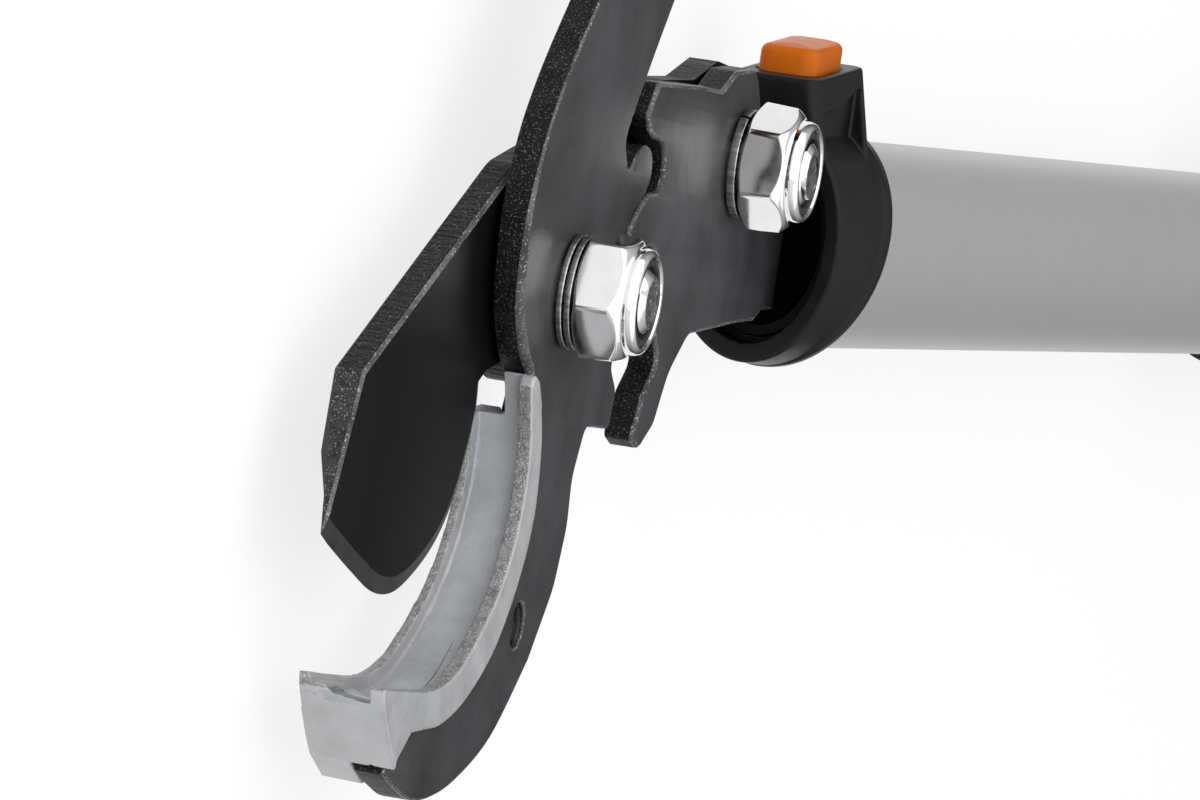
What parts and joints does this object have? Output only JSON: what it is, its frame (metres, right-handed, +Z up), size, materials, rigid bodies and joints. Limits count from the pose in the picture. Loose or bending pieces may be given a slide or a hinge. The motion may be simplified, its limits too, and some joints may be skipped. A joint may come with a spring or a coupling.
{
  "type": "anvil lopper",
  "caption": "Long-handled anvil lopper with a toothed lever mechanism, a cast anvil, a coated blade and telescoping tube handles.",
  "frame": {"origin": "middle of the outer face of the main pivot bolt's head, on the surface the tool lies on", "axes": "+X away from the jaws, almost along the lower handle; +Y in the plane in which the jaws open, towards the other handle; +Z up, along the pivot bolts towards their nuts"},
  "size_m": [0.7056, 0.5731, 0.0316],
  "materials": {
    "coated_steel": "satin black powder coat",
    "blade_coat": "low-friction black coat, bare steel at the edge",
    "cast_anvil": "rough cast, machined on top",
    "zinc": "bright zinc plate",
    "nylon": "matt",
    "disc": "matt",
    "black_plastic": "fine moulded texture",
    "orange_plastic": "satin",
    "grey_tube": "grey painted",
    "dark_tube": "dark anodised",
    "rubber": "matt"
  },
  "bodies": {
    "anvil_arm": {"anvil_arm": "coated_steel", "anvil": "cast_anvil", "anvil_screw": "zinc", "pivot_bolt": "zinc", "pivot_rear_washer": "zinc", "pivot_friction_disc": "disc", "pivot_washer_1": "zinc", "pivot_washer_2": "zinc", "pivot_nut": "zinc", "pivot_nut_ring": "nylon", "inner_tube_a": "dark_tube", "tang_plug_a": "black_plastic", "tang_rivet_a1": "zinc", "tang_rivet_a2": "zinc", "inner_bushing_a": "black_plastic"},
    "blade": {"blade": "blade_coat", "lever_bolt": "zinc", "lever_rear_washer": "zinc", "lever_friction_disc": "disc", "lever_spring_washer": "zinc", "lever_nut": "zinc", "lever_nut_ring": "nylon"},
    "lever": {"lever": "coated_steel", "inner_tube_b": "dark_tube", "tang_plug_b": "black_plastic", "tang_rivet_b1": "zinc", "tang_rivet_b2": "zinc", "inner_bushing_b": "black_plastic"},
    "handle_a": {"outer_tube_a": "grey_tube", "collar_a": "black_plastic", "lock_pin_a": "zinc", "grip_a": "rubber", "end_cap_a": "black_plastic"},
    "handle_b": {"outer_tube_b": "grey_tube", "collar_b": "black_plastic", "lock_pin_b": "zinc", "grip_b": "rubber", "end_cap_b": "black_plastic"},
    "button_a": {"button_a": "orange_plastic"},
    "button_b": {"button_b": "orange_plastic"}
  },
  "joints": [
    {"name": "blade_pivot", "type": "hinge", "parent": "anvil_arm", "child": "blade", "pos_m": [0, 0, 0.018], "axis": [0, 0, 1], "range_deg": [-20, 15]},
    {"name": "lever_pivot", "type": "hinge", "parent": "blade", "child": "lever", "pos_m": [0.08281, 0.02343, 0.018], "axis": [0, 0, 1], "range_deg": [-13.4, 10.1]},
    {"name": "handle_slide_a", "type": "slide", "parent": "anvil_arm", "child": "handle_a", "axis": [0.6428, 0.766, 0], "range_m": [0, 0.25]},
    {"name": "handle_slide_b", "type": "slide", "parent": "lever", "child": "handle_b", "axis": [0.9991, 0.0419, 0], "range_m": [0, 0.25]},
    {"name": "button_press_a", "type": "slide", "parent": "handle_a", "child": "button_a", "axis": [-0.766, 0.6428, 0], "range_m": [0, 0.002], "stiffness_N_per_m": 600},
    {"name": "button_press_b", "type": "slide", "parent": "handle_b", "child": "button_b", "axis": [0.0419, -0.9991, 0], "range_m": [0, 0.002], "stiffness_N_per_m": 600}
  ],
  "couplings": [
    {"joint": "lever_pivot", "follows": "blade_pivot", "ratio": 0.66667}
  ]
}
